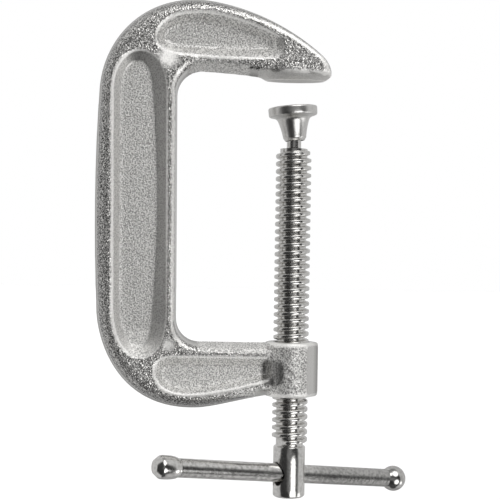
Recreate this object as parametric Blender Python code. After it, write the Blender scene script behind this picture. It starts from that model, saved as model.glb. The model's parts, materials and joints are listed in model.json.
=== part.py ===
"""A 100 mm C clamp with a sliding T handle.

A forged C frame with three pockets on each face carries a tapped boss. A threaded
spindle runs through the boss, turns in a swivel pad that is crimped over its ball end,
and is driven by a bar that slides loosely through a cross hole in its shank.

Origin: centre of the anvil's flat, on the screw's axis. +Z runs up along the screw,
+X points from the spine to the nose, +Y is through the frame's thickness.
Sizes below are in millimetres and angles in degrees; MM turns them into metres.
"""
import math

import bmesh
import bpy
from mathutils import Matrix, Vector

MM = 0.001

# Frame, seen from the front: outline positions on the parting plane
FRAME_TOP = 35.9
FRAME_BOTTOM = -146.0
CROWN_X = -44.0                 # where the back turns into each arm
SPINE_OUTER_TOP = (-87.0, -4.0)
SPINE_OUTER_BOTTOM = (-86.9, -104.0)
SPINE_INNER_TOP_X = -52.3
SPINE_INNER_BOTTOM_X = -51.3
UPPER_ARM_UNDERSIDE = 3.7
LOWER_ARM_TOP = -116.3
TOP_CORNER_RADIUS = 11.0
BOTTOM_CORNER_RADIUS = 10.0
NOSE_TIP_X = 16.2

# Frame, through its thickness
HALF_THICKNESS = 8.5
OUTER_RIM = 6.3                 # how far the rounded rim runs in from the outline
SPINE_INNER_RIM = 1.0
UPPER_ARM_RIM = 5.3
LOWER_ARM_RIM = 4.2
NOSE_RIM = 2.4
LOWER_NOSE_RIM = 4.0            # under the lower arm, where it meets the boss
RIM_PROFILE = ((0.0, 0.05), (0.22, 0.42), (0.43, 0.76), (0.54, 0.86), (0.74, 0.95), (1.0, 1.0))
POCKET_DEPTH = 4.2

# Anvil under the nose, and the boss that the screw runs in
ANVIL_SECTIONS = ((0.0, 13.0, 6.0), (1.2, 15.0, 7.4), (2.8, 16.0, 8.5), (4.2, 16.2, 9.0),
                  (6.5, 14.0, 8.7), (10.0, 10.0, 7.0))     # height, half length, half depth
BOSS_RADIUS = 11.7
BOSS_TRIM_ANGLE = 53.9          # the flash trim cuts two flats that meet in a ridge
BOSS_RIDGE_X = 12.4
BOSS_TOP = -115.7
BOSS_BOTTOM = -140.1
BOSS_EDGE = 1.6

# Screw thread, right-handed
PITCH = 3.35
CREST_RADIUS = 7.9
ROOT_RADIUS = 6.05
CREST_WIDTH = 1.0
BASE_WIDTH = 2.45
THREAD_STEPS = 18               # flats in one turn
THREAD_PHASE = -31.8            # a crest crosses the +X side at this height
THREAD_TOP = -30.6
THREAD_BOTTOM = -161.7
THREAD_CLEARANCE = 0.27

# Spindle above and below the thread
BALL_CENTRE = -21.9
BALL_RADIUS = 4.7
NECK_RADIUS = 3.2
SHOULDER = -30.0                # top of the cone that leads into the thread
SHOULDER_RADIUS = 4.5
SHANK_RADIUS = 7.1
SHANK_TOP = -162.3
SHANK_BOTTOM = -184.7
SHANK_CHAMFER = 0.8
CROSS_HOLE_CENTRE = -174.5
CROSS_HOLE_RADIUS = 4.95
CROSS_HOLE_MOUTH = 6.6
CROSS_HOLE_COUNTERSINK = 1.1

# Swivel pad, crimped on the ball and tipped a little to one side
PAD_FACE = -11.4
PAD_TILT = 4.8
PAD_RIM_RADIUS = 10.9
PAD_RIM_THICKNESS = 3.6
PAD_LENGTH = 15.1
PAD_BODY = ((7.1, 6.4), (6.4, 8.2), (5.9, 10.0), (5.5, 11.8), (5.2, 13.4))    # radius, depth
SOCKET_RADIUS = 5.0
SOCKET_LIP_RADIUS = 4.15

# Sliding T handle: it yaws about the screw and droops in its loose hole
BAR_YAW = 28.4
BAR_DROOP = 6.4
BAR_RADIUS = 4.1
BAR_LOW_END = -54.6             # shoulder where the barrel end begins
BAR_HIGH_END = 52.3             # shoulder where the ball end begins
SPIGOT_RADIUS = 2.4
SPIGOT_LENGTH = 6.0
BARREL_LENGTH = 11.5
BARREL_RADIUS = 5.1
BARREL_PROFILE = ((3.0, 0.0), (4.8, 2.2), (5.1, 3.2), (5.1, 6.0), (4.7, 9.0))  # radius, length
BALL_END_RADIUS = 5.8
FIT_GAP = 0.3

ROUND_STEPS = 36                # flats round a turned piece
BAR_STEPS = 28
COLOURS = {
    "frame": ((0.50, 0.50, 0.49), 0.42),
    "spindle": ((0.56, 0.56, 0.55), 0.24),
    "swivel_pad": ((0.55, 0.55, 0.54), 0.28),
    "handle_bar": ((0.57, 0.57, 0.56), 0.22),
    "handle_barrel_end": ((0.57, 0.57, 0.56), 0.22),
    "handle_ball_end": ((0.57, 0.57, 0.56), 0.22),
}


# ---------------------------------------------------------------- helpers

def clear_scene():
    for item in list(bpy.data.objects):
        bpy.data.objects.remove(item, do_unlink=True)


def zinc(name):
    """Bright zinc plate over steel, in the tone that this piece has."""
    colour, roughness = COLOURS[name]
    material = bpy.data.materials.new(name)
    material.use_nodes = True
    shader = material.node_tree.nodes["Principled BSDF"]
    shader.inputs["Base Color"].default_value = (*colour, 1.0)
    shader.inputs["Metallic"].default_value = 1.0
    shader.inputs["Roughness"].default_value = roughness
    return material


def new_object(name, bm, matrix=None):
    """Turns bm, in millimetres, into an object in metres, with its faces pointing out."""
    bm.transform(Matrix.Scale(MM, 4))
    bmesh.ops.recalc_face_normals(bm, faces=bm.faces)
    mesh = bpy.data.meshes.new(name)
    bm.to_mesh(mesh)
    bm.free()
    item = bpy.data.objects.new(name, mesh)
    bpy.context.collection.objects.link(item)
    if matrix is not None:
        item.matrix_world = matrix
    return item


def finish(item, parent=None):
    """Gives a piece its material and smooth shading, and hangs it on its joint's empty."""
    item.data.materials.append(zinc(item.name))
    item.data.shade_smooth()
    item.data.set_sharp_from_angle(angle=math.radians(35.0))
    if parent is not None:
        item.parent = parent
        item.matrix_parent_inverse = parent.matrix_world.inverted()
    return item


def boolean(target, tool, operation):
    modifier = target.modifiers.new(f"{operation.lower()}_{tool.name}", "BOOLEAN")
    modifier.operation = operation
    modifier.solver = "EXACT"
    modifier.object = tool
    tool.hide_render = True
    tool.display_type = "WIRE"


def joint_empty(name, matrix):
    item = bpy.data.objects.new(name, None)
    item.empty_display_size = 10.0 * MM
    bpy.context.collection.objects.link(item)
    item.matrix_world = matrix
    return item


def bezier(start, start_handle, end_handle, end, steps):
    """Points of a cubic curve, without its last point."""
    a, b, c, d = (Vector(p) for p in (start, start_handle, end_handle, end))
    points = []
    for i in range(steps):
        t = i / steps
        s = 1.0 - t
        points.append(a * s ** 3 + b * (3 * t * s * s) + c * (3 * t * t * s) + d * t ** 3)
    return points


def arc(centre, radius, start, end, steps):
    """Points of an arc in degrees, without its last point."""
    points = []
    for i in range(steps):
        angle = math.radians(start + (end - start) * i / steps)
        points.append(Vector((centre[0] + radius * math.cos(angle),
                              centre[1] + radius * math.sin(angle))))
    return points


def line(start, end, steps):
    a, b = Vector(start), Vector(end)
    return [a.lerp(b, i / steps) for i in range(steps)]


def skin(bm, loops):
    """Joins loops of equal length with quads and caps the two ends."""
    rings = [[bm.verts.new(p) for p in loop] for loop in loops]
    for low, high in zip(rings, rings[1:]):
        for i in range(len(low)):
            j = (i + 1) % len(low)
            bm.faces.new((low[i], low[j], high[j], high[i]))
    bm.faces.new(list(reversed(rings[0])))
    bm.faces.new(rings[-1])


def turned(bm, profile, steps=ROUND_STEPS):
    """A closed body turned about Z from (radius, height) points; radius 0 closes an end."""
    rings = []
    for radius, height in profile:
        if radius == 0.0:
            rings.append([bm.verts.new((0.0, 0.0, height))])
            continue
        ring = []
        for i in range(steps):
            angle = math.tau * i / steps
            ring.append(bm.verts.new((radius * math.cos(angle), radius * math.sin(angle), height)))
        rings.append(ring)
    for low, high in zip(rings, rings[1:]):
        for i in range(steps):
            j = (i + 1) % steps
            if len(low) == 1:
                bm.faces.new((low[0], high[j], high[i]))
            elif len(high) == 1:
                bm.faces.new((low[i], low[j], high[0]))
            else:
                bm.faces.new((low[i], low[j], high[j], high[i]))


# ---------------------------------------------------------------- frame

def frame_outline():
    """The frame's outline on the parting plane as (x, z, rim), anticlockwise from the nose."""
    top = (CROWN_X, FRAME_TOP)
    bottom = (CROWN_X, FRAME_BOTTOM)
    shoulder = (12.5, 11.4)
    inner_top = (SPINE_INNER_TOP_X + TOP_CORNER_RADIUS, UPPER_ARM_UNDERSIDE - TOP_CORNER_RADIUS)
    inner_bottom = (SPINE_INNER_BOTTOM_X + BOTTOM_CORNER_RADIUS,
                    LOWER_ARM_TOP + BOTTOM_CORNER_RADIUS)
    stretches = [
        (bezier((NOSE_TIP_X, 2.2), (16.9, 5.2), (15.0, 9.1), shoulder, 4), NOSE_RIM, NOSE_RIM),
        (bezier(shoulder, (-10.5, 32.1), (-37.5, FRAME_TOP), top, 22), NOSE_RIM, OUTER_RIM),
        (bezier(top, (-71.0, FRAME_TOP), (-85.8, 15.5), SPINE_OUTER_TOP, 24), OUTER_RIM, OUTER_RIM),
        (bezier(SPINE_OUTER_TOP, (-89.0, -37.0), (-88.6, -71.0), SPINE_OUTER_BOTTOM, 8),
         OUTER_RIM, OUTER_RIM),
        (bezier(SPINE_OUTER_BOTTOM, (-86.4, -113.5), (-79.5, FRAME_BOTTOM), bottom, 24),
         OUTER_RIM, OUTER_RIM),
        (bezier(bottom, (-35.0, FRAME_BOTTOM), (-26.0, -142.6), (-9.0, -139.5), 9),
         OUTER_RIM, LOWER_NOSE_RIM),
        (line((-9.0, -139.5), (4.0, -139.0), 1), LOWER_NOSE_RIM, LOWER_NOSE_RIM),
        (line((4.0, -139.0), (4.0, LOWER_ARM_TOP), 1), SPINE_INNER_RIM, SPINE_INNER_RIM),
        (line((4.0, LOWER_ARM_TOP), (inner_bottom[0], LOWER_ARM_TOP), 3),
         LOWER_ARM_RIM, LOWER_ARM_RIM),
        (arc(inner_bottom, BOTTOM_CORNER_RADIUS, 270.0, 180.0, 12), LOWER_ARM_RIM, SPINE_INNER_RIM),
        (line((SPINE_INNER_BOTTOM_X, inner_bottom[1]), (SPINE_INNER_TOP_X, inner_top[1]), 4),
         SPINE_INNER_RIM, SPINE_INNER_RIM),
        (arc(inner_top, TOP_CORNER_RADIUS, 180.0, 90.0, 12), SPINE_INNER_RIM, UPPER_ARM_RIM),
        (bezier((inner_top[0], UPPER_ARM_UNDERSIDE), (-30.0, 3.0), (-20.0, 2.4), (-12.0, 0.8), 6),
         UPPER_ARM_RIM, UPPER_ARM_RIM),
        (line((-12.0, 0.8), (13.0, 0.8), 3), UPPER_ARM_RIM, NOSE_RIM),
        (line((13.0, 0.8), (NOSE_TIP_X, 2.2), 1), NOSE_RIM, NOSE_RIM),
    ]
    outline = []
    for points, first_rim, last_rim in stretches:
        for i, point in enumerate(points):
            rim = first_rim + (last_rim - first_rim) * i / len(points)
            outline.append((point.x, point.y, rim))
    return outline


def inset_loop(outline, share, y):
    """The outline drawn in by a share of each point's rim, at depth y."""
    count = len(outline)
    loop = []
    for i, (x, z, rim) in enumerate(outline):
        before = outline[i - 1]
        after = outline[(i + 1) % count]
        along = Vector((after[0] - before[0], after[1] - before[1])).normalized()
        loop.append((x - along.y * rim * share, y, z + along.x * rim * share))
    return loop


def frame_plate():
    """The C itself: flat faces and a rounded rim that comes to a ridge at the parting plane."""
    outline = frame_outline()
    loops = []
    for share, depth in reversed(RIM_PROFILE):
        loops.append(inset_loop(outline, share, -depth * HALF_THICKNESS))
    for share, depth in RIM_PROFILE:
        loops.append(inset_loop(outline, share, depth * HALF_THICKNESS))
    bm = bmesh.new()
    skin(bm, loops)
    return new_object("frame", bm)


def spine_pocket():
    """Long pocket with round ends, as (mouth, floor) outlines."""
    mouth = (bezier((-55.2, -102.0), (-55.2, -116.0), (-58.5, -123.2), (-66.5, -123.2), 8)
             + bezier((-66.5, -123.2), (-74.0, -123.2), (-78.5, -114.0), (-78.9, -102.0), 8)
             + line((-78.9, -102.0), (-80.2, -6.0), 8)
             + bezier((-80.2, -6.0), (-80.4, 4.0), (-75.0, 11.6), (-68.5, 11.6), 8)
             + bezier((-68.5, 11.6), (-61.0, 11.6), (-56.6, 4.0), (-56.4, -6.0), 8)
             + line((-56.4, -6.0), (-55.2, -102.0), 12))
    floor = (bezier((-62.0, -107.0), (-62.6, -115.0), (-64.5, -118.6), (-67.0, -118.6), 8)
             + bezier((-67.0, -118.6), (-72.0, -118.6), (-75.6, -112.0), (-76.2, -102.0), 8)
             + line((-76.2, -102.0), (-77.2, -6.0), 8)
             + bezier((-77.2, -6.0), (-77.0, 2.0), (-74.0, 7.6), (-69.0, 7.6), 8)
             + bezier((-69.0, 7.6), (-65.5, 7.6), (-63.4, 3.0), (-63.2, -5.0), 8)
             + bezier((-63.2, -5.0), (-59.4, -40.0), (-59.4, -72.0), (-62.0, -107.0), 12))
    return mouth, floor


def upper_pocket():
    """Pocket that follows the back of the upper arm and ends short of the nose."""
    mouth = (bezier((-50.0, 10.6), (-58.5, 10.6), (-62.0, 14.5), (-61.2, 18.6), 6)
             + bezier((-61.2, 18.6), (-60.0, 25.6), (-52.0, 28.4), (-42.0, 28.6), 7)
             + bezier((-42.0, 28.6), (-32.0, 28.6), (-16.0, 23.0), (-8.0, 18.6), 8)
             + bezier((-8.0, 18.6), (-4.6, 16.0), (-4.6, 9.3), (-10.0, 9.3), 6)
             + line((-10.0, 9.3), (-34.0, 9.3), 3)
             + line((-34.0, 9.3), (-50.0, 10.6), 2))
    floor = (bezier((-48.0, 14.2), (-55.0, 14.2), (-58.4, 15.6), (-58.2, 18.6), 6)
             + bezier((-58.2, 18.6), (-57.0, 22.6), (-51.0, 24.8), (-42.0, 24.8), 7)
             + bezier((-42.0, 24.8), (-32.0, 24.8), (-18.0, 20.2), (-11.5, 16.0), 8)
             + bezier((-11.5, 16.0), (-9.6, 14.8), (-10.0, 13.8), (-12.5, 13.8), 6)
             + line((-12.5, 13.8), (-34.0, 13.8), 3)
             + line((-34.0, 13.8), (-48.0, 14.2), 2))
    return mouth, floor


def lower_pocket():
    """Pocket of the lower arm, which runs up to the boss."""
    mouth = (bezier((-51.5, -122.8), (-58.5, -122.8), (-60.6, -127.0), (-59.9, -130.4), 6)
             + bezier((-59.9, -130.4), (-58.6, -136.6), (-53.0, -139.2), (-45.0, -139.2), 7)
             + bezier((-45.0, -139.2), (-36.0, -139.0), (-20.0, -135.4), (-8.6, -131.8), 5)
             + line((-8.6, -131.8), (-8.6, -122.8), 4)
             + line((-8.6, -122.8), (-51.5, -122.8), 5))
    floor = (bezier((-50.0, -126.6), (-55.6, -126.6), (-57.6, -128.8), (-57.2, -131.0), 6)
             + bezier((-57.2, -131.0), (-56.4, -135.4), (-51.0, -136.9), (-45.0, -136.6), 7)
             + bezier((-45.0, -136.6), (-36.0, -135.6), (-24.0, -132.2), (-9.6, -129.8), 5)
             + line((-9.6, -129.8), (-9.6, -126.6), 4)
             + line((-9.6, -126.6), (-50.0, -126.6), 5))
    return mouth, floor


def pocket_cutter(name, outlines, side):
    """A tapered plug that leaves a pocket with sloping walls in the face at y = side."""
    mouth, floor = outlines
    over = 1.0
    face = side * HALF_THICKNESS
    bottom = side * (HALF_THICKNESS - POCKET_DEPTH)
    beyond = [m + (m - f) * (over / POCKET_DEPTH) for m, f in zip(mouth, floor)]
    bm = bmesh.new()
    skin(bm, [[(p.x, bottom, p.y) for p in floor],
              [(p.x, face, p.y) for p in mouth],
              [(p.x, face + side * over, p.y) for p in beyond]])
    return new_object(name, bm)


def anvil_block():
    """The oval block under the nose, flat on its face and rounded at its edge."""
    bm = bmesh.new()
    loops = []
    for height, half_length, half_depth in ANVIL_SECTIONS:
        loops.append([(half_length * math.cos(math.tau * i / ROUND_STEPS),
                       half_depth * math.sin(math.tau * i / ROUND_STEPS), height)
                      for i in range(ROUND_STEPS)])
    skin(bm, loops)
    return new_object("anvil_block", bm)


def boss_outline():
    """The boss seen along the screw: a circle that ends in two flats on its outer side."""
    outline = arc((0.0, 0.0), BOSS_RADIUS, BOSS_TRIM_ANGLE, 360.0 - BOSS_TRIM_ANGLE, ROUND_STEPS)
    cut = math.radians(BOSS_TRIM_ANGLE)
    outline.append(Vector((BOSS_RADIUS * math.cos(cut), -BOSS_RADIUS * math.sin(cut))))
    outline.append(Vector((BOSS_RIDGE_X, 0.0)))
    return outline


def boss_block():
    """The round boss that the screw runs in, with its edges broken."""
    nearly = 0.4
    levels = ((BOSS_BOTTOM, BOSS_EDGE), (BOSS_BOTTOM + nearly, nearly),
              (BOSS_BOTTOM + BOSS_EDGE, 0.0),
              (BOSS_TOP - BOSS_EDGE, 0.0), (BOSS_TOP - nearly, nearly), (BOSS_TOP, BOSS_EDGE))
    loops = []
    for height, inset in levels:
        share = 1.0 - inset / BOSS_RADIUS
        loops.append([(p.x * share, p.y * share, height) for p in boss_outline()])
    bm = bmesh.new()
    skin(bm, loops)
    return new_object("boss_block", bm)


def thread_height(index):
    """Height of the thread's centre line at this step of the helix, counted from +X."""
    return THREAD_PHASE + PITCH * index / THREAD_STEPS


def thread_body(bm, bottom, top, clearance, fade_steps, below, above):
    """A core with one helical ridge between bottom and top.

    Each step of the helix has four points across the ridge. The core's surface joins the
    ridge's upper foot to the lower foot of the turn above it. Below and above are the
    (radius, height) points that close the body at its two ends.
    """
    root = ROOT_RADIUS + clearance
    crest = CREST_RADIUS + clearance
    half_crest = CREST_WIDTH / 2 + clearance
    half_base = BASE_WIDTH / 2 + clearance
    first = math.ceil((bottom + half_base - THREAD_PHASE) / PITCH * THREAD_STEPS)
    last = math.floor((top - half_base - THREAD_PHASE) / PITCH * THREAD_STEPS)

    def point(index, radius, height):
        angle = math.tau * index / THREAD_STEPS
        return bm.verts.new((radius * math.cos(angle), radius * math.sin(angle), height))

    rows = {}
    for index in range(first, last + 1):
        middle = thread_height(index)
        rise = min(1.0, (index - first) / fade_steps, (last - index) / fade_steps)
        tip = root + (crest - root) * rise
        rows[index] = (point(index, root, middle - half_base),
                       point(index, tip, middle - half_crest),
                       point(index, tip, middle + half_crest),
                       point(index, root, middle + half_base))
    for index in range(first, last):
        here, there = rows[index], rows[index + 1]
        for k in range(3):
            bm.faces.new((here[k], there[k], there[k + 1], here[k + 1]))
        if index + 1 + THREAD_STEPS <= last:
            bm.faces.new((here[3], there[3], rows[index + 1 + THREAD_STEPS][0],
                          rows[index + THREAD_STEPS][0]))

    def ring(start, radius, height):
        return [point(start + k, radius, height) for k in range(THREAD_STEPS)]

    low = ring(first, root, bottom - 0.2)
    for k in range(THREAD_STEPS - 1):
        bm.faces.new((low[k], low[k + 1], rows[first + k + 1][0], rows[first + k][0]))
    bm.faces.new((low[-1], low[0], *rows[first], rows[first + THREAD_STEPS][0],
                  rows[first + THREAD_STEPS - 1][0]))
    start = last - THREAD_STEPS
    high = ring(start, root, top + 0.2)
    for k in range(1, THREAD_STEPS):
        after = high[(k + 1) % THREAD_STEPS]
        bm.faces.new((rows[start + k][3], rows[start + k + 1][3], after, high[k]))
    bm.faces.new((rows[start][3], rows[start + 1][3], high[1], high[0],
                  *reversed(rows[last])))

    for ends, outer, start in ((below, low, first), (above, high, start)):
        for radius, height in ends:
            if radius == 0.0:
                centre = bm.verts.new((0.0, 0.0, height))
                for k in range(THREAD_STEPS):
                    bm.faces.new((outer[k], outer[(k + 1) % THREAD_STEPS], centre))
                continue
            inner = ring(start, radius, height)
            for k in range(THREAD_STEPS):
                j = (k + 1) % THREAD_STEPS
                bm.faces.new((outer[k], outer[j], inner[j], inner[k]))
            outer = inner


def tap_cutter():
    """The tapped hole: the screw's own thread grown by the running clearance."""
    over = 4.5
    bm = bmesh.new()
    thread_body(bm, BOSS_BOTTOM - over, BOSS_TOP + over, THREAD_CLEARANCE, 1,
                ((0.0, BOSS_BOTTOM - over - 0.2),), ((0.0, BOSS_TOP + over + 0.2),))
    return new_object("tap_cutter", bm)


def build_frame():
    frame = frame_plate()
    for pocket in (spine_pocket, upper_pocket, lower_pocket):
        for side in (-1.0, 1.0):
            face = "front" if side < 0 else "back"
            boolean(frame, pocket_cutter(f"{pocket.__name__}_{face}", pocket(), side), "DIFFERENCE")
    boolean(frame, anvil_block(), "UNION")
    boolean(frame, boss_block(), "UNION")
    boolean(frame, tap_cutter(), "DIFFERENCE")
    return finish(frame)


# ---------------------------------------------------------------- screw, pad and handle

def bar_matrix():
    """The handle's own frame: Z along the bar, from its barrel end to its ball end."""
    yaw = math.radians(BAR_YAW)
    droop = math.radians(BAR_DROOP)
    along = Vector((math.cos(yaw) * math.cos(droop), math.sin(yaw) * math.cos(droop),
                    -math.sin(droop)))
    matrix = along.to_track_quat("Z", "Y").to_matrix().to_4x4()
    matrix.translation = Vector((0.0, 0.0, CROSS_HOLE_CENTRE * MM))
    return matrix


def cross_hole_cutter():
    """Level hole through the shank, with its two mouths opened out."""
    straight = SHANK_RADIUS - CROSS_HOLE_COUNTERSINK
    reach = SHANK_RADIUS + 1.5
    bm = bmesh.new()
    turned(bm, ((0.0, -reach), (CROSS_HOLE_MOUTH, -reach), (CROSS_HOLE_RADIUS, -straight),
                (CROSS_HOLE_RADIUS, straight), (CROSS_HOLE_MOUTH, reach), (0.0, reach)), BAR_STEPS)
    yaw = math.radians(BAR_YAW)
    level = Vector((math.cos(yaw), math.sin(yaw), 0.0)).to_track_quat("Z", "Y")
    matrix = level.to_matrix().to_4x4()
    matrix.translation = Vector((0.0, 0.0, CROSS_HOLE_CENTRE * MM))
    return new_object("cross_hole_cutter", bm, matrix)


def ball_arc(radius, centre, start, end, steps):
    """(radius, height) points round a ball on the axis, from its equator's angle start to end."""
    points = []
    for i in range(steps + 1):
        angle = math.radians(start + (end - start) * i / steps)
        points.append((radius * math.cos(angle), centre + radius * math.sin(angle)))
    return points


def build_spindle(parent):
    neck_angle = math.degrees(math.acos(NECK_RADIUS / BALL_RADIUS))
    above = [(SHOULDER_RADIUS, SHOULDER), (NECK_RADIUS, SHOULDER)]
    above += ball_arc(BALL_RADIUS, BALL_CENTRE, -neck_angle, 75.0, 7)
    above.append((0.0, BALL_CENTRE + BALL_RADIUS))
    below = [(SHANK_RADIUS - 0.3, SHANK_TOP), (SHANK_RADIUS, SHANK_TOP - 0.5),
             (SHANK_RADIUS, SHANK_BOTTOM + SHANK_CHAMFER),
             (SHANK_RADIUS - SHANK_CHAMFER, SHANK_BOTTOM), (0.0, SHANK_BOTTOM)]
    bm = bmesh.new()
    thread_body(bm, THREAD_BOTTOM, THREAD_TOP, 0.0, THREAD_STEPS // 3, below, above)
    spindle = new_object("spindle", bm)
    boolean(spindle, cross_hole_cutter(), "DIFFERENCE")
    return finish(spindle, parent)


def build_pad():
    """The pad is turned about its own axis and tipped about the ball's centre."""
    face = PAD_FACE - BALL_CENTRE
    lip = math.degrees(math.acos(SOCKET_LIP_RADIUS / SOCKET_RADIUS))
    broken = 0.4
    rim = PAD_RIM_RADIUS
    under = face - PAD_RIM_THICKNESS
    profile = [(0.0, face), (rim - broken, face), (rim, face - broken), (rim, under)]
    flare = bezier((rim - broken, under - broken), (8.6, under - 0.9), (7.6, under - 1.6),
                   (PAD_BODY[0][0], face - PAD_BODY[0][1]), 5)
    profile += [(p.x, p.y) for p in flare]
    profile += [(radius, face - depth) for radius, depth in PAD_BODY]
    profile += [(SOCKET_LIP_RADIUS + broken, face - PAD_LENGTH + broken),
                (SOCKET_LIP_RADIUS, face - PAD_LENGTH)]
    profile += ball_arc(SOCKET_RADIUS, 0.0, -lip, 75.0, 7)
    profile.append((0.0, SOCKET_RADIUS))
    bm = bmesh.new()
    turned(bm, profile)
    tilt = Matrix.Rotation(math.radians(-PAD_TILT), 4, "Y")
    return finish(new_object("swivel_pad", bm, Matrix.Translation((0, 0, BALL_CENTRE * MM)) @ tilt))


def build_handle(parent):
    """The bar, and the two ends that keep it in the shank's hole."""
    matrix = bar_matrix()
    bm = bmesh.new()
    turned(bm, ((0.0, BAR_LOW_END - SPIGOT_LENGTH), (SPIGOT_RADIUS, BAR_LOW_END - SPIGOT_LENGTH),
                (SPIGOT_RADIUS, BAR_LOW_END), (BAR_RADIUS, BAR_LOW_END),
                (BAR_RADIUS, BAR_HIGH_END), (SPIGOT_RADIUS, BAR_HIGH_END),
                (SPIGOT_RADIUS, BAR_HIGH_END + SPIGOT_LENGTH),
                (0.0, BAR_HIGH_END + SPIGOT_LENGTH)), BAR_STEPS)
    finish(new_object("handle_bar", bm, matrix), parent)

    bore = SPIGOT_RADIUS + FIT_GAP
    depth = SPIGOT_LENGTH + FIT_GAP
    mouth = BAR_LOW_END - FIT_GAP
    tip = BAR_LOW_END - BARREL_LENGTH
    profile = [(0.0, tip)]
    profile += [(radius, tip + along) for radius, along in BARREL_PROFILE]
    profile += [(BAR_RADIUS, mouth), (bore, mouth), (bore, BAR_LOW_END - depth),
                (0.0, BAR_LOW_END - depth)]
    bm = bmesh.new()
    turned(bm, profile, BAR_STEPS)
    finish(new_object("handle_barrel_end", bm, matrix), parent)

    mouth = BAR_HIGH_END + FIT_GAP
    centre = mouth + math.sqrt(BALL_END_RADIUS ** 2 - BAR_RADIUS ** 2)
    start = -math.degrees(math.acos(BAR_RADIUS / BALL_END_RADIUS))
    profile = [(0.0, BAR_HIGH_END + depth), (bore, BAR_HIGH_END + depth), (bore, mouth)]
    profile += ball_arc(BALL_END_RADIUS, centre, start, 75.0, 10)
    profile.append((0.0, centre + BALL_END_RADIUS))
    bm = bmesh.new()
    turned(bm, profile, BAR_STEPS)
    finish(new_object("handle_ball_end", bm, matrix), parent)


def main():
    clear_scene()
    screw_axis = joint_empty("screw_axis", Matrix.Translation((0.0, 0.0, BALL_CENTRE * MM)))
    bar_axis = joint_empty("bar_axis", bar_matrix())
    build_frame()
    build_pad()
    build_spindle(screw_axis)
    build_handle(bar_axis)


main()
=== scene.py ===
"""Looks of a bright zinc-plated C clamp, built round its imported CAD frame.

The cast frame is the CAD frame remeshed finely, rounded like a casting, and roughened
where a casting is blasted and not trimmed. The screw, pad and handle are turned again with
finer steps. Shapes are worked in millimetres and go into the scene in metres.
"""
import json
import math

import bmesh
import bpy
import numpy as np
from mathutils import Matrix, Vector, noise
from mathutils.bvhtree import BVHTree


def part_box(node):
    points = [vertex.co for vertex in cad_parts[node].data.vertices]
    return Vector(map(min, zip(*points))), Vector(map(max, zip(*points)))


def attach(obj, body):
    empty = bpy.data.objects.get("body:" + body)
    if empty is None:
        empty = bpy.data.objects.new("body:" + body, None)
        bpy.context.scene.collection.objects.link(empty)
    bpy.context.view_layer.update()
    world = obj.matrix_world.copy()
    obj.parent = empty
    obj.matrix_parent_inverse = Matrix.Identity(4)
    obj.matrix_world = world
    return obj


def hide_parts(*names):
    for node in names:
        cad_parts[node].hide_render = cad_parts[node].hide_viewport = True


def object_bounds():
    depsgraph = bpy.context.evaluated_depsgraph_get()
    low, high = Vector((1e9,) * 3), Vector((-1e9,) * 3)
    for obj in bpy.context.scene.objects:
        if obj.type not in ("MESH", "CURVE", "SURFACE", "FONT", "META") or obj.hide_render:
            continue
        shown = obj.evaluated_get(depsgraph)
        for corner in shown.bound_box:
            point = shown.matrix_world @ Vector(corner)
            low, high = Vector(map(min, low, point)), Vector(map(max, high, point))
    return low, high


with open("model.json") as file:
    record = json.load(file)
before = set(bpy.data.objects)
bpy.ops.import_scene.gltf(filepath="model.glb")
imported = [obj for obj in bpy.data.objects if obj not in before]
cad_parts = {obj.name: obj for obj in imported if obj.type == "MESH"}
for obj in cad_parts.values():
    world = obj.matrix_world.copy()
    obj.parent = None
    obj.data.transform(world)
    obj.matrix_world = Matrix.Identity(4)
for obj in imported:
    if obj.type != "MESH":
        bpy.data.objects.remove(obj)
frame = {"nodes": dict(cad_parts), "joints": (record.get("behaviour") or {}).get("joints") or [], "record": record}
cad_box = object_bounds()

MM = 0.001

# ---------------------------------------------------------------- sizes read from the frame

COUPLING = frame["record"]["behaviour"]["couplings"][0]
JOINTS = {joint["name"]: joint for joint in frame["joints"]}
PITCH = COUPLING["ratio"] * math.tau / MM
BALL_CENTRE = JOINTS["screw_turn"]["pos_m"][2] / MM
BAR_AXIS = Vector(JOINTS["bar_slide"]["axis"])
MOUNTS = {mount["name"]: mount for mount in frame["record"]["mounts"]}
PAD_AXIS = Vector(MOUNTS["pad_face"]["axis"])
PAD_FACE = Vector(MOUNTS["pad_face"]["pos_m"])


# ---------------------------------------------------------------- helpers

def new_piece(name, points, faces, body, node, slot):
    """A mesh piece from points in millimetres, riding on a body in place of a CAD node."""
    mesh = bpy.data.meshes.new(name)
    mesh.from_pydata([tuple(p) for p in np.asarray(points) * MM], [], faces)
    mesh.validate()
    piece = bpy.data.objects.new(name, mesh)
    bpy.context.scene.collection.objects.link(piece)
    mesh.shade_smooth()
    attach(piece, body)
    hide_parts(node)
    return piece


def turned(profile, steps):
    """Points and faces turned about Z from (radius, height) pairs; radius 0 closes an end."""
    points = []
    faces = []
    rings = []
    for radius, height in profile:
        count = 1 if radius == 0.0 else steps
        ring = []
        for i in range(count):
            angle = math.tau * i / steps
            ring.append(len(points))
            points.append((radius * math.cos(angle), radius * math.sin(angle), height))
        rings.append(ring)
    for low, high in zip(rings, rings[1:]):
        for i in range(steps):
            j = (i + 1) % steps
            if len(low) == 1:
                faces.append((low[0], high[j], high[i]))
            elif len(high) == 1:
                faces.append((low[i], low[j], high[0]))
            else:
                faces.append((low[i], low[j], high[j], high[i]))
    return points, faces


def edges_of(mesh):
    edges = np.empty(len(mesh.edges) * 2, np.int64)
    mesh.edges.foreach_get("vertices", edges)
    return edges.reshape(-1, 2)


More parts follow.
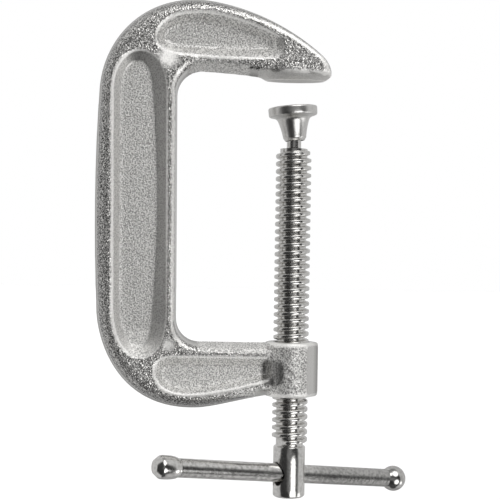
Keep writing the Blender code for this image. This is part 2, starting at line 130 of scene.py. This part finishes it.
def relaxed(values, edges, rounds, share=0.5):
    """Moves each point's values towards its neighbours' mean, so many times."""
    values = np.array(values, float)
    flat = values.reshape(len(values), -1)
    count = np.bincount(edges.ravel(), minlength=len(flat)).clip(1)
    for _ in range(rounds):
        for k in range(flat.shape[1]):
            column = flat[:, k]
            total = np.bincount(edges[:, 0], column[edges[:, 1]], len(flat))
            total += np.bincount(edges[:, 1], column[edges[:, 0]], len(flat))
            flat[:, k] = column + share * (total / count - column)
    return flat.reshape(values.shape)


def points_of(mesh):
    points = np.empty(len(mesh.vertices) * 3)
    mesh.vertices.foreach_get("co", points)
    return points.reshape(-1, 3)


def normals_of(mesh):
    normals = np.empty(len(mesh.vertices) * 3)
    mesh.vertex_normals.foreach_get("vector", normals)
    return normals.reshape(-1, 3)


def set_points(mesh, points):
    mesh.vertices.foreach_set("co", np.asarray(points, np.float32).ravel())
    mesh.update()


def set_attribute(mesh, name, values):
    attribute = mesh.attributes.new(name, "FLOAT", "POINT")
    attribute.data.foreach_set("value", np.asarray(values, np.float32))


# ---------------------------------------------------------------- cast frame

VOXEL = 0.52
BAND_DEPTH = 6.3                # the trimmed band lies within this of the parting plane
OUTER_BAND_DEPTH = 3.6          # and within this round the outside of the C
FACE_DEPTH = 7.2                # flat faces nearer the parting plane are pocket floors
FLAT = 0.95                     # a face is flat if its normal's Y is more than this
POCKET_SPAN = 26.0              # no pocket is wider
BORE_RADIUS = 9.0
BOSS_TOP = -100.0               # the boss lies below this and to the right of BOSS_LEFT
BOSS_LEFT = -11.5
TRIMMED_SIDE = 6.9              # the boss is trimmed past this, on its outer side
ANVIL_LEFT = -16.3
ANVIL_TOP = 4.0
SPINE_RIGHT = -54.0
SPINE_HEIGHTS = (-120.0, 12.0)
OUTER_LEFT = -70.0              # past this, or beyond these heights, is the outside of the C
OUTER_HEIGHTS = (-128.0, 12.0)


def cad_tree(node):
    """The CAD node's triangles in millimetres, as a tree to search."""
    mesh = frame["nodes"][node].data
    mesh.calc_loop_triangles()
    points = [v.co / MM for v in mesh.vertices]
    triangles = [tuple(t.vertices) for t in mesh.loop_triangles]
    return BVHTree.FromPolygons(points, triangles), points, triangles


def in_pocket(tree, point):
    """True where metal stands close on both opposite sides, along X or along Z."""
    for axis in (Vector((1, 0, 0)), Vector((0, 0, 1))):
        if all(tree.ray_cast(point, way, POCKET_SPAN)[0] is not None for way in (axis, -axis)):
            return True
    return False


# How coarse the skin is, how matt, how dull or shaded (painted shade in the hollows and on the shoulders), and how
# much painted shade where it faces down or left: 0 to 1
PLAIN = (0.0, 0.0, 0.15, 0.0)
# The spine's walls get painted shade where they face down or left
SPINE_WALL = (0.35, 0.8, 0.0, 1.0)
FACE = (1.0, 0.15, 0.0, 0.15)
POCKET = (0.75, 0.85, 0.0, 0.0)
BOSS_SIDE = (0.85, 0.6, 0.0, 0.0)
ANVIL = (0.15, 0.9, 0.3, 0.0)
# Skin for the painted shade in the hollows: dark and dull
PAINTED_SHADE_SKIN = (0.5, 0.3, 0.95, 0.0)


def between(value, limits):
    return limits[0] < value < limits[1]


def skin_of_cast(tree, points, triangles):
    """For each CAD triangle, the casting's skin there."""
    skins = []
    for a, b, c in triangles:
        centre = (points[a] + points[b] + points[c]) / 3
        normal = (points[b] - points[a]).cross(points[c] - points[a]).normalized()
        radius = math.hypot(centre.x, centre.y)
        if radius < BORE_RADIUS and centre.z < BOSS_TOP:
            skins.append(PLAIN)
        elif centre.x > BOSS_LEFT and centre.z < BOSS_TOP:
            trimmed = abs(normal.z) > 0.6 or centre.x > TRIMMED_SIDE
            skins.append(PLAIN if trimmed else BOSS_SIDE)
        elif centre.x > ANVIL_LEFT and normal.z < -0.3 and centre.z < ANVIL_TOP:
            skins.append(ANVIL)
        elif abs(normal.y) > FLAT:
            skins.append(FACE if abs(centre.y) > FACE_DEPTH else POCKET)
        elif in_pocket(tree, centre + normal * 0.3):
            in_spine = centre.x < SPINE_RIGHT and between(centre.z, SPINE_HEIGHTS)
            skins.append(SPINE_WALL if in_spine else POCKET)
        else:
            outside = centre.x < OUTER_LEFT or not between(centre.z, OUTER_HEIGHTS)
            depth = OUTER_BAND_DEPTH if outside else BAND_DEPTH
            skins.append(PLAIN if abs(centre.y) < depth else FACE)
    return skins


def remeshed(node, voxel):
    """A copy of a CAD node's mesh in millimetres, remeshed in even quads."""
    mesh = frame["nodes"][node].data.copy()
    mesh.transform(Matrix.Scale(1 / MM, 4))
    scratch = bpy.data.objects.new("scratch", mesh)
    bpy.context.scene.collection.objects.link(scratch)
    modifier = scratch.modifiers.new("remesh", "REMESH")
    modifier.mode = "VOXEL"
    modifier.voxel_size = voxel
    graph = bpy.context.evaluated_depsgraph_get()
    made = bpy.data.meshes.new_from_object(scratch.evaluated_get(graph))
    bpy.data.objects.remove(scratch)
    bpy.data.meshes.remove(mesh)
    return made


def cast_grain(point):
    """Height of the blasted skin, from about -1 to 1 before scaling."""
    coarse = noise.noise(point * 0.22)
    middle = noise.noise(point * 0.75 + Vector((7.0, 3.0, 1.0)))
    fine = noise.noise(point * 1.6 + Vector((2.0, 9.0, 5.0)))
    return 0.35 * coarse + 0.5 * middle + 0.6 * fine


GRAIN_HEIGHT = 0.11             # millimetres
EDGE_ROUNDS = 4                 # rounds of relaxing for every edge
POCKET_ROUNDS = 8               # and more for the pockets
TRIM_LINE = 4.5                 # the band is duller within this of the parting plane
SHOULDER_PAINTED_SHADE = 0.5             # how much painted shade darkens the blasted shoulders, either side of a crest
CREST_START = 0.042             # an edge sharper than this is worn and gets a painted highlight, fully so past the rise
CREST_RISE = 0.03
LOWER_ARM_TOP = -112.0          # the lower arm's pocket is more matt than the others, as painted light that makes it paler
LOWER_ARM_PAINTED_LIGHT = 0.5
# Painted highlights on the flats where ribs meet: x, z, reach and how matt
PAINTED_RIB_HIGHLIGHTS = ((-56.0, 8.8, 4.8, 1.4), (-54.0, -117.5, 2.8, 0.4))
# Painted shade in the hollows beside the boss and the anvil: x, z, their reach along each, and share
PAINTED_HOLLOW_SHADES = ((-8.2, -129.2, 5.2, 6.0, 1.0), (-6.9, 15.7, 1.6, 2.8, 0.6),
           (-8.6, 4.6, 2.4, 1.4, 0.5))
PAINTED_SHADE_DEPTH = -3.9             # and they are only on the front, where Y is less than this


def rounded_cast(mesh, points, edges, skin, tree):
    """Remeshed points rounded at the edges, more in the pockets, with the bore kept true."""
    rounded = relaxed(points, edges, EDGE_ROUNDS)
    softened = relaxed(rounded, edges, POCKET_ROUNDS)
    soft = relaxed(np.where(skin[:, 1] == POCKET[1], 1.0, 0.0), edges, 4)
    rounded += (softened - rounded) * soft[:, None]
    bore = (np.hypot(points[:, 0], points[:, 1]) < BORE_RADIUS) & (points[:, 2] < BOSS_TOP)
    for i in np.nonzero(bore)[0]:
        rounded[i] = tree.find_nearest(Vector(points[i]))[0]
    set_points(mesh, rounded)
    return rounded, soft, bore


def paint_shade_in_hollows(skin, points):
    # Paints shade into the hollows on the front by blending in that skin
    front = points[:, 1] < PAINTED_SHADE_DEPTH
    for x, z, reach_x, reach_z, most in PAINTED_HOLLOW_SHADES:
        away = np.cbrt(abs((points[:, 0] - x) / reach_x) ** 3
                       + abs((points[:, 2] - z) / reach_z) ** 3)
        share = (np.clip(4.0 * (1.06 - away), 0.0, most) * front)[:, None]
        skin += (np.array(PAINTED_SHADE_SKIN) - skin) * share


def dull_trimmed_band(skin, points):
    trimmed = (skin[:, 0] < 0.05) & (skin[:, 1] < 0.05)
    skin[:, 2] += trimmed * np.clip(1.0 - abs(points[:, 1]) / TRIM_LINE, 0.0, 1.0)


def wear_and_highlight_crests(skin, points, normals, edges, bore):
    """How worn each point is; worn crests also get a painted highlight. It also paints highlights on the rib
    joints, makes them matt, and paints shade on the shoulders.
    """
    crest = ((points - relaxed(points, edges, 8)) * normals).sum(1)
    # Worn crests: real wear, and a painted highlight
    wear_and_highlight = np.clip((relaxed(crest, edges, 1) - CREST_START) / CREST_RISE, 0.0, 1.0)
    # Painted highlights where the ribs meet
    for x, z, reach, matt in PAINTED_RIB_HIGHLIGHTS:
        away = np.hypot(points[:, 0] - x, points[:, 2] - z) / reach
        share = np.clip(1.6 - 1.3 * away, 0.0, 1.0) * (skin[:, 0] > 0.7)
        wear_and_highlight = np.maximum(wear_and_highlight, share)
        skin[:, 1] = np.maximum(skin[:, 1], share * matt)
    wear_and_highlight[bore] = 0.0
    # Painted shade on the blasted shoulders that slope away from the front
    sloped = np.clip(6.0 * (0.93 - abs(normals[:, 1])), 0.0, 1.0)
    blasted = np.clip(7.0 * skin[:, 0] - 6.0, 0.0, 1.0)
    skin[:, 2] += SHOULDER_PAINTED_SHADE * sloped * blasted * (1.0 - wear_and_highlight)
    return wear_and_highlight


def build_frame():
    tree, cad_points, triangles = cad_tree("frame")
    skins = skin_of_cast(tree, cad_points, triangles)
    mesh = remeshed("frame", VOXEL)
    edges = edges_of(mesh)
    points = points_of(mesh)
    skin = np.array([skins[tree.find_nearest(Vector(p))[2]] for p in points])
    rounded, soft, bore = rounded_cast(mesh, points, edges, skin, tree)
    skin = relaxed(skin, edges, 2)
    # Painted light: the lower arm's pocket is made more matt, so it shows paler
    skin[:, 1] += LOWER_ARM_PAINTED_LIGHT * soft * (rounded[:, 2] < LOWER_ARM_TOP)
    dull_trimmed_band(skin, rounded)
    paint_shade_in_hollows(skin, rounded)
    normals = normals_of(mesh)
    # Painted shade where the skin faces down or left, by its fourth share
    skin[:, 2] += skin[:, 3] * np.clip(-2.0 * (normals[:, 0] + normals[:, 2]), 0.0, 1.0)
    wear_and_highlight = wear_and_highlight_crests(skin, rounded, normals, edges, bore)
    skin[:, 0] *= 1.0 - 0.75 * wear_and_highlight
    grain = np.array([cast_grain(Vector(p)) for p in rounded])
    set_points(mesh, (rounded + normals * (grain * skin[:, 0] * GRAIN_HEIGHT)[:, None]) * MM)
    set_attribute(mesh, "blasted", skin[:, 0])
    set_attribute(mesh, "matt", skin[:, 1])
    set_attribute(mesh, "dull_and_shade", skin[:, 2])
    set_attribute(mesh, "wear_and_highlight", wear_and_highlight)
    mesh.name = "cast_frame"
    piece = bpy.data.objects.new("cast_frame", mesh)
    bpy.context.scene.collection.objects.link(piece)
    mesh.shade_smooth()
    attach(piece, "frame")
    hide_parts("frame")
    mesh.materials.clear()
    mesh.materials.append(cast_zinc())


# ---------------------------------------------------------------- screw

CREST_RADIUS = 7.9
ROOT_RADIUS = 6.05
THREAD_STEPS = 72
THREAD_PHASE = -31.8            # height of the crest where its angle is 0
THREAD_TOP = -30.3
THREAD_BOTTOM = -161.7
# One pitch of the thread's section: share of the pitch from the crest's middle, and height
# of the surface there as a share of the thread's depth
THREAD_SECTION = ((-0.4, 0.0), (-0.37, 0.05), (-0.31, 0.45), (-0.24, 0.83), (-0.19, 0.94),
                  (-0.12, 0.99), (0.0, 1.0), (0.12, 0.99), (0.19, 0.94), (0.24, 0.83),
                  (0.31, 0.45), (0.37, 0.05), (0.4, 0.0))


def screw_mesh(below, above, fade_steps):
    """A core with one helical ridge, closed by the (radius, height) points at each end."""
    points = []
    faces = []
    reach = THREAD_SECTION[-1][0] * PITCH
    first = math.ceil((THREAD_BOTTOM + reach - THREAD_PHASE) / PITCH * THREAD_STEPS)
    last = math.floor((THREAD_TOP - reach - THREAD_PHASE) / PITCH * THREAD_STEPS)

    def point(index, radius, height):
        angle = math.tau * index / THREAD_STEPS
        points.append((radius * math.cos(angle), radius * math.sin(angle), height))
        return len(points) - 1

    rows = {}
    for index in range(first, last + 1):
        middle = THREAD_PHASE + PITCH * index / THREAD_STEPS
        rise = min(1.0, (index - first) / fade_steps, (last - index) / fade_steps)
        rise = rise * rise * (3 - 2 * rise)
        rows[index] = [point(index, ROOT_RADIUS + (CREST_RADIUS - ROOT_RADIUS) * rise * height,
                             middle + share * PITCH) for share, height in THREAD_SECTION]
    across = len(THREAD_SECTION)
    for index in range(first, last):
        here, there = rows[index], rows[index + 1]
        for k in range(across - 1):
            faces.append((here[k], there[k], there[k + 1], here[k + 1]))
        if index + 1 + THREAD_STEPS <= last:
            faces.append((here[-1], there[-1], rows[index + 1 + THREAD_STEPS][0],
                          rows[index + THREAD_STEPS][0]))

    def ring(start, radius, height):
        return [point(start + k, radius, height) for k in range(THREAD_STEPS)]

    low = ring(first, ROOT_RADIUS, THREAD_BOTTOM - 0.2)
    for k in range(THREAD_STEPS - 1):
        faces.append((low[k], low[k + 1], rows[first + k + 1][0], rows[first + k][0]))
    faces.append((low[-1], low[0], *rows[first], rows[first + THREAD_STEPS][0],
                  rows[first + THREAD_STEPS - 1][0]))
    start = last - THREAD_STEPS
    high = ring(start, ROOT_RADIUS, THREAD_TOP + 0.2)
    for k in range(1, THREAD_STEPS):
        faces.append((rows[start + k][-1], rows[start + k + 1][-1],
                      high[(k + 1) % THREAD_STEPS], high[k]))
    faces.append((rows[start][-1], rows[start + 1][-1], high[1], high[0], *reversed(rows[last])))

    for ends, outer, begin in ((below, low, first), (above, high, start)):
        for radius, height in ends:
            if radius == 0.0:
                centre = point(0, 0.0, height)
                for k in range(THREAD_STEPS):
                    faces.append((outer[k], outer[(k + 1) % THREAD_STEPS], centre))
                continue
            inner = ring(begin, radius, height)
            for k in range(THREAD_STEPS):
                j = (k + 1) % THREAD_STEPS
                faces.append((outer[k], outer[j], inner[j], inner[k]))
            outer = inner
    return points, faces


def ball_arc(radius, centre, start, end, steps):
    """(radius, height) points round a ball on the axis, from angle start to end."""
    angles = [math.radians(start + (end - start) * i / steps) for i in range(steps + 1)]
    return [(radius * math.cos(a), centre + radius * math.sin(a)) for a in angles]


SHOULDER = -29.95               # top of the thread's core
NECK_RADIUS = 3.2
BALL_RADIUS = 4.7
SHANK_RADIUS = 7.1
HOLE_RADIUS = 4.95
HOLE_CENTRE = -174.5
SHARP = math.radians(40.0)      # edges sharper than this aren't shaded smooth


def hole_cutter():
    """Level cross hole under the handle, with rounded mouths."""
    reach = SHANK_RADIUS + 1.5
    flare = [(HOLE_RADIUS + 0.05 * (k + 1) ** 2, SHANK_RADIUS - 1.2 + 0.3 * k) for k in range(6)]
    profile = [(0.0, -reach), (flare[-1][0], -reach)]
    profile += [(r, -h) for r, h in reversed(flare)]
    profile += flare
    profile += [(flare[-1][0], reach), (0.0, reach)]
    points, faces = turned(profile, 72)
    level = Vector((BAR_AXIS.x, BAR_AXIS.y, 0.0)).to_track_quat("Z", "Y").to_matrix().to_4x4()
    place = Matrix.Translation((0.0, 0.0, HOLE_CENTRE)) @ level
    mesh = bpy.data.meshes.new("hole_cutter")
    mesh.from_pydata([tuple((place @ Vector(p)) * MM) for p in points], [], faces)
    cutter = bpy.data.objects.new("hole_cutter", mesh)
    bpy.context.scene.collection.objects.link(cutter)
    return cutter


def fix_normals(mesh):
    bm = bmesh.new()
    bm.from_mesh(mesh)
    bmesh.ops.recalc_face_normals(bm, faces=bm.faces)
    bm.to_mesh(mesh)
    bm.free()


def build_spindle():
    bottom = (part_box("spindle")[0] / MM).z
    neck_angle = math.degrees(math.acos(NECK_RADIUS / BALL_RADIUS))
    above = [(5.3, SHOULDER - 0.06), (4.9, SHOULDER - 0.02), (4.6, SHOULDER),
             (NECK_RADIUS + 0.3, SHOULDER + 0.05), (NECK_RADIUS, SHOULDER + 0.4)]
    above += ball_arc(BALL_RADIUS, BALL_CENTRE, -neck_angle, 80.0, 16)
    above.append((0.0, BALL_CENTRE + BALL_RADIUS))
    below = [(SHANK_RADIUS - 0.7, THREAD_BOTTOM - 0.35), (SHANK_RADIUS - 0.2, THREAD_BOTTOM - 0.6),
             (SHANK_RADIUS, THREAD_BOTTOM - 1.1), (SHANK_RADIUS, HOLE_CENTRE + 6.5),
             (SHANK_RADIUS, HOLE_CENTRE - 6.5), (SHANK_RADIUS, bottom + 0.9),
             (SHANK_RADIUS - 0.12, bottom + 0.6), (SHANK_RADIUS - 0.8, bottom + 0.05),
             (SHANK_RADIUS - 1.1, bottom), (3.0, bottom), (0.0, bottom)]
    points, faces = screw_mesh(below, above, THREAD_STEPS // 8)
    piece = new_piece("screw", points, faces, "spindle", "spindle", "spindle_plating")
    fix_normals(piece.data)
    cutter = hole_cutter()
    fix_normals(cutter.data)
    cut = piece.modifiers.new("cross_hole", "BOOLEAN")
    cut.operation = "DIFFERENCE"
    cut.solver = "EXACT"
    cut.object = cutter
    graph = bpy.context.evaluated_depsgraph_get()
    made = bpy.data.meshes.new_from_object(piece.evaluated_get(graph))
    piece.modifiers.clear()
    piece.data = made
    bpy.data.objects.remove(cutter)
    made.shade_smooth()
    made.set_sharp_from_angle(angle=SHARP)
    made.materials.clear()
    made.materials.append(polished_zinc("screw_zinc", 0.2, 0.16))


# ---------------------------------------------------------------- pad and handle

def bezier(start, start_handle, end_handle, end, steps):
    points = []
    for i in range(steps + 1):
        t = i / steps
        s = 1.0 - t
        points.append(tuple(s ** 3 * a + 3 * s * s * t * b + 3 * s * t * t * c + t ** 3 * d
                            for a, b, c, d in zip(start, start_handle, end_handle, end)))
    return points


def turned_piece(name, profile, steps, axis, centre, riding, shader):
    """A piece turned round an axis that crosses the screw's own at the height centre."""
    points, faces = turned(profile, steps)
    turn = axis.to_track_quat("Z", "Y").to_matrix().to_4x4()
    place = Matrix.Translation((0.0, 0.0, centre)) @ turn
    piece = new_piece(name, [place @ Vector(p) for p in points], faces, *riding)
    fix_normals(piece.data)
    piece.data.set_sharp_from_angle(angle=SHARP)
    piece.data.materials.append(shader)


PAD_RIM = 10.9
SOCKET_RADIUS = 5.0


def build_pad():
    """Turned about its own axis, which is tipped about the ball's centre."""
    face = (PAD_FACE / MM - Vector((0, 0, BALL_CENTRE))).length
    rim = PAD_RIM
    under = face - 3.6
    profile = [(0.0, face), (6.0, face), (rim - 0.7, face), (rim - 0.3, face - 0.12),
               (rim - 0.05, face - 0.45), (rim, face - 0.8), (rim - 0.05, face - 2.9)]
    profile += bezier((rim - 0.15, under), (rim - 0.4, under - 0.5), (rim - 1.0, under - 0.6),
                      (rim - 1.6, under - 0.75), 5)
    profile += bezier((rim - 1.9, under - 0.85), (7.9, under - 1.1), (7.3, under - 1.6),
                      (6.9, under - 2.6), 8)
    profile += bezier((6.75, under - 3.0), (6.2, under - 4.6), (5.45, under - 7.5),
                      (5.15, under - 10.0), 10)
    profile += [(5.05, under - 10.3), (4.9, under - 10.45), (4.4, under - 11.3),
                (4.2, under - 11.45)]
    profile += ball_arc(SOCKET_RADIUS, 0.0, -33.0, 80.0, 16)
    profile.append((0.0, SOCKET_RADIUS))
    turned_piece("pad", profile, 128, PAD_AXIS, BALL_CENTRE, ("pad", "swivel_pad", "pad_plating"),
                 polished_zinc("pad_zinc", 0.32))


BAR_RADIUS = 4.1
BAR_LOW_END = -54.6             # its ends, measured along it from the screw's axis
BAR_HIGH_END = 52.3
SPIGOT_RADIUS = 2.4
SPIGOT_LENGTH = 6.0
SPIGOT_BORE = 2.7
SPIGOT_DEPTH = 6.3
BARREL_LENGTH = 11.5
BALL_END_RADIUS = 5.8
END_GAP = 0.12


def handle_piece(name, profile, node, roughness, mottle, far_side):
    turned_piece(name, profile, 96, BAR_AXIS, HOLE_CENTRE, ("handle", node, "handle_plating"),
                 polished_zinc(name + "_zinc", roughness, mottle, far_side))


def build_handle():
    low, high = BAR_LOW_END, BAR_HIGH_END
    bar = [(0.0, low - SPIGOT_LENGTH), (SPIGOT_RADIUS, low - SPIGOT_LENGTH), (SPIGOT_RADIUS, low)]
    bar += [(BAR_RADIUS, height) for height in (low, -20.0, 0.0, 20.0, high)]
    bar += [(SPIGOT_RADIUS, high), (SPIGOT_RADIUS, high + SPIGOT_LENGTH),
            (0.0, high + SPIGOT_LENGTH)]
    handle_piece("bar", bar, "handle_bar", 0.22, 0.28, 0.72)

    tip = low - BARREL_LENGTH
    barrel = [(0.0, tip), (2.6, tip), (3.1, tip + 0.15), (4.7, tip + 2.2), (4.95, tip + 2.6),
              (5.08, tip + 3.1)]
    barrel += bezier((5.12, tip + 3.8), (5.14, tip + 6.6), (5.05, tip + 8.4), (4.6, tip + 9.9), 8)
    barrel += [(4.35, tip + 10.5), (4.15, tip + 11.0), (BAR_RADIUS, low - END_GAP),
               (SPIGOT_BORE, low - END_GAP), (SPIGOT_BORE, low - SPIGOT_DEPTH),
               (0.0, low - SPIGOT_DEPTH)]
    handle_piece("barrel_end", barrel, "handle_barrel_end", 0.2, 0.15, 1.0)

    centre = high + 0.3 + math.sqrt(BALL_END_RADIUS ** 2 - BAR_RADIUS ** 2)
    ball = [(0.0, high + SPIGOT_DEPTH), (SPIGOT_BORE, high + SPIGOT_DEPTH),
            (SPIGOT_BORE, high + END_GAP), (BAR_RADIUS, high + END_GAP)]
    ball += ball_arc(BALL_END_RADIUS, centre, -40.0, 84.0, 30)
    ball.append((0.0, centre + BALL_END_RADIUS))
    handle_piece("ball_end", ball, "handle_ball_end", 0.2, 0.2, 0.85)


# ---------------------------------------------------------------- materials

def material(name):
    made = bpy.data.materials.new(name)
    made.use_nodes = True
    return made, made.node_tree, made.node_tree.nodes["Principled BSDF"]


def node(tree, kind, **inputs):
    made = tree.nodes.new(kind)
    for name, value in inputs.items():
        made.inputs[name.replace("_", " ")].default_value = value
    return made


def feed(tree, socket, value):
    """Gives an input a value: a link if the value is an output, or else a number."""
    if isinstance(value, bpy.types.NodeSocket):
        tree.links.new(value, socket)
    else:
        socket.default_value = value


def operated(tree, kind, operation, values):
    """A maths node of either kind, fed with the values in order."""
    made = tree.nodes.new(kind)
    made.operation = operation
    for socket, value in zip(made.inputs, values):
        feed(tree, socket, value)
    return made


def maths(tree, operation, *values):
    return operated(tree, "ShaderNodeMath", operation, values).outputs[0]


def vector_math(tree, operation, *values):
    return operated(tree, "ShaderNodeVectorMath", operation, values)


def mapped(tree, source, low, high, first=0.0, last=1.0):
    """Turns a value that runs from first to last into one from low to high."""
    tone = node(tree, "ShaderNodeMapRange", From_Min=first, From_Max=last, To_Min=low, To_Max=high)
    tree.links.new(source, tone.inputs["Value"])
    return tone.outputs["Result"]


def attribute(tree, name):
    read = tree.nodes.new("ShaderNodeAttribute")
    read.attribute_name = name
    return read.outputs["Fac"]


def object_place(tree):
    return tree.nodes.new("ShaderNodeTexCoord").outputs["Object"]


def noise_of(tree, scale, detail):
    made = node(tree, "ShaderNodeTexNoise", Scale=scale, Detail=detail)
    tree.links.new(object_place(tree), made.inputs["Vector"])
    return made.outputs["Fac"]


def bumped(tree, shader, height, strength, distance):
    bump = node(tree, "ShaderNodeBump", Strength=strength, Distance=distance)
    tree.links.new(height, bump.inputs["Height"])
    tree.links.new(bump.outputs["Normal"], shader.inputs["Normal"])


ZINC = (0.78, 0.77, 0.75)


def zinc_toned(tree, shader, tone):
    colour = vector_math(tree, "SCALE", ZINC)
    tree.links.new(tone, colour.inputs["Scale"])
    tree.links.new(colour.outputs[0], shader.inputs["Base Color"])


SPARKLE_SCALE = 1200.0          # noise scales are per metre
PIT_SCALE = 1600.0
DULLEST = 0.5                   # how much the dullest skin, or the most painted shade, takes off the tone


def cast_zinc():
    """Zinc over a blasted casting: it sparkles where it is rough and is plain where trimmed. Its tone also carries
    painted shade and painted highlights.
    """
    made, tree, shader = material("cast_zinc")
    blasted, matt, dull_and_shade, wear_and_highlight = (attribute(tree, name)
                                 for name in ("blasted", "matt", "dull_and_shade", "wear_and_highlight"))
    sparkle = maths(tree, "MULTIPLY", noise_of(tree, SPARKLE_SCALE, 1.5), blasted)
    bumped(tree, shader, sparkle, 1.0, 0.00042)
    # Painted shade and dull finish: this share darkens the tone and deepens the pits
    deep = maths(tree, "MULTIPLY", blasted, maths(tree, "MULTIPLY_ADD", dull_and_shade, 0.4, 1.0))
    pit = mapped(tree, noise_of(tree, PIT_SCALE, 2.0), 0.75, -0.12, 0.4, 0.56)
    tone = maths(tree, "MULTIPLY",
                 maths(tree, "SUBTRACT", 1.0, maths(tree, "MULTIPLY", pit, deep)),
                 maths(tree, "SUBTRACT", 1.0, maths(tree, "MULTIPLY", dull_and_shade, DULLEST)))
    # Painted highlight: worn crests and the rib joints are made paler
    zinc_toned(tree, shader, maths(tree, "MULTIPLY_ADD", wear_and_highlight, 0.2, tone))
    rough = mapped(tree, maths(tree, "MULTIPLY_ADD", wear_and_highlight, 0.5, matt), 0.2, 0.5)
    tree.links.new(rough, shader.inputs["Roughness"])
    film = maths(tree, "MULTIPLY", blasted, maths(tree, "MULTIPLY_ADD", dull_and_shade, -0.12, 0.13))
    film = maths(tree, "MULTIPLY_ADD", matt, 0.3, film)
    film = maths(tree, "MULTIPLY_ADD", wear_and_highlight, 0.25, film)
    tree.links.new(mapped(tree, film, 1.0, 0.0), shader.inputs["Metallic"])
    return made


CLOUD_SCALE = 260.0
MOTTLE_SCALE = 700.0
SCRATCH_SCALE = 900.0
FAR_SIDE = (0.006, 0.016)       # X in metres over which the tone changes


def polished_zinc(name, roughness, mottle=0.12, far_side=1.0):
    """Bright zinc with faint mottling, and a duller tone past the screw on the +X side."""
    made, tree, shader = material(name)
    shader.inputs["Metallic"].default_value = 1.0
    cloud = mapped(tree, noise_of(tree, CLOUD_SCALE, 3.0), roughness * 0.7, roughness * 1.3)
    tree.links.new(cloud, shader.inputs["Roughness"])
    split = tree.nodes.new("ShaderNodeSeparateXYZ")
    tree.links.new(object_place(tree), split.inputs[0])
    side = mapped(tree, split.outputs["X"], 1.0, far_side, *FAR_SIDE)
    mottled = mapped(tree, noise_of(tree, MOTTLE_SCALE, 3.0), 1.0 - mottle, 1.0, 0.35, 0.6)
    zinc_toned(tree, shader, maths(tree, "MULTIPLY", side, mottled))
    bumped(tree, shader, noise_of(tree, SCRATCH_SCALE, 2.0), 0.5, 0.00006)
    return made


# ---------------------------------------------------------------- studio

def direction(azimuth, elevation):
    """Unit vector; azimuth 0 points at the camera and 90 to its right."""
    a, e = math.radians(azimuth), math.radians(elevation)
    return Vector((math.sin(a) * math.cos(e), -math.cos(a) * math.cos(e), math.sin(e)))


def spot(tree, towards, azimuth, elevation, radius, soft):
    """1 within radius degrees of that direction, falling to 0 over soft degrees."""
    aim = vector_math(tree, "DOT_PRODUCT", towards, direction(azimuth, elevation))
    edge = tree.nodes.new("ShaderNodeMapRange")
    edge.interpolation_type = "SMOOTHSTEP"
    edge.inputs["From Min"].default_value = math.cos(math.radians(radius + soft))
    edge.inputs["From Max"].default_value = math.cos(math.radians(radius))
    tree.links.new(aim.outputs["Value"], edge.inputs["Value"])
    return edge.outputs["Result"]


def blended(tree, share, under, over):
    """Mixes a brightness over another by share."""
    mix = tree.nodes.new("ShaderNodeMix")
    for name, value in (("Factor", share), ("A", under), ("B", over)):
        feed(tree, mix.inputs[name], value)
    return mix.outputs["Result"]


DARK_ROOM = 0.04
TENT = 0.6
SOFTBOX = 2.3
DIFFUSE_LIGHT = 1.2
BACKGROUND = 1.0
OPENING = (0, -8, 62, 8)        # azimuth, elevation, radius and soft edge, in degrees
# The same four of each spot, then how bright it is
SPOTS = ((180, -55, 25, 12, 0.4), (0, 88, 20, 6, 0.3), (0, -74, 22, 5, 0.08),
         (2, 2, 10, 14, 0.2), (22, 50, 23, 3, SOFTBOX), (30, -24, 19, 3, SOFTBOX),
         (82, -29, 9, 3, SOFTBOX))


def studio():
    """A pale tent that is open to a dark room in front, with round softboxes in the opening."""
    world = bpy.data.worlds.new("tent")
    bpy.context.scene.world = world
    world.use_nodes = True
    tree = world.node_tree
    towards = tree.nodes.new("ShaderNodeTexCoord").outputs["Generated"]
    flat = vector_math(tree, "MULTIPLY", towards, (1.0, 1.0, 0.8))
    flat = vector_math(tree, "NORMALIZE", flat.outputs[0])
    light = blended(tree, spot(tree, flat.outputs[0], *OPENING), TENT, DARK_ROOM)
    for azimuth, elevation, radius, soft, brightness in SPOTS:
        share = spot(tree, towards, azimuth, elevation, radius, soft)
        light = blended(tree, share, light, brightness)
    path = tree.nodes.new("ShaderNodeLightPath")
    light = blended(tree, path.outputs["Is Diffuse Ray"], light, DIFFUSE_LIGHT)
    light = blended(tree, path.outputs["Is Camera Ray"], light, BACKGROUND)
    tree.links.new(light, tree.nodes["Background"].inputs["Color"])
    bpy.context.scene.view_settings.view_transform = "Standard"


FLOOR_DROP = 95.0               # below the clamp, so that the floor clears the opened screw
FLOOR_SIZE = 6.0                # metres from the middle to each side


def floor():
    height = cad_box[0].z - FLOOR_DROP * MM
    size = FLOOR_SIZE
    mesh = bpy.data.meshes.new("floor")
    mesh.from_pydata([(-size, -size, height), (size, -size, height), (size, size, height),
                      (-size, size, height)], [], [(0, 1, 2, 3)])
    plane = bpy.data.objects.new("floor", mesh)
    bpy.context.scene.collection.objects.link(plane)
    made, _, shader = material("floor_paper")
    shader.inputs["Base Color"].default_value = (0.9, 0.9, 0.9, 1.0)
    shader.inputs["Roughness"].default_value = 0.9
    shader.inputs["Specular IOR Level"].default_value = 0.0
    mesh.materials.append(made)
    plane.visible_glossy = False


CAMERA_ROLL = math.radians(0.905)
CAMERA_LENS = 90.5
CAMERA_PLACE = Vector((-18.86, -560.0, -75.35))


def camera():
    """Level, facing along +Y, and rolled a little."""
    right = Vector((math.cos(CAMERA_ROLL), 0.0, math.sin(CAMERA_ROLL)))
    up = Vector((-math.sin(CAMERA_ROLL), 0.0, math.cos(CAMERA_ROLL)))
    back = Vector((0.0, -1.0, 0.0))
    data = bpy.data.cameras.new("camera")
    data.lens = CAMERA_LENS
    view = bpy.data.objects.new("camera", data)
    bpy.context.scene.collection.objects.link(view)
    matrix = Matrix((right, up, back)).transposed().to_4x4()
    matrix.translation = CAMERA_PLACE * MM
    view.matrix_world = matrix
    bpy.context.scene.camera = view


camera()
studio()
floor()
build_frame()
build_spindle()
build_pad()
build_handle()
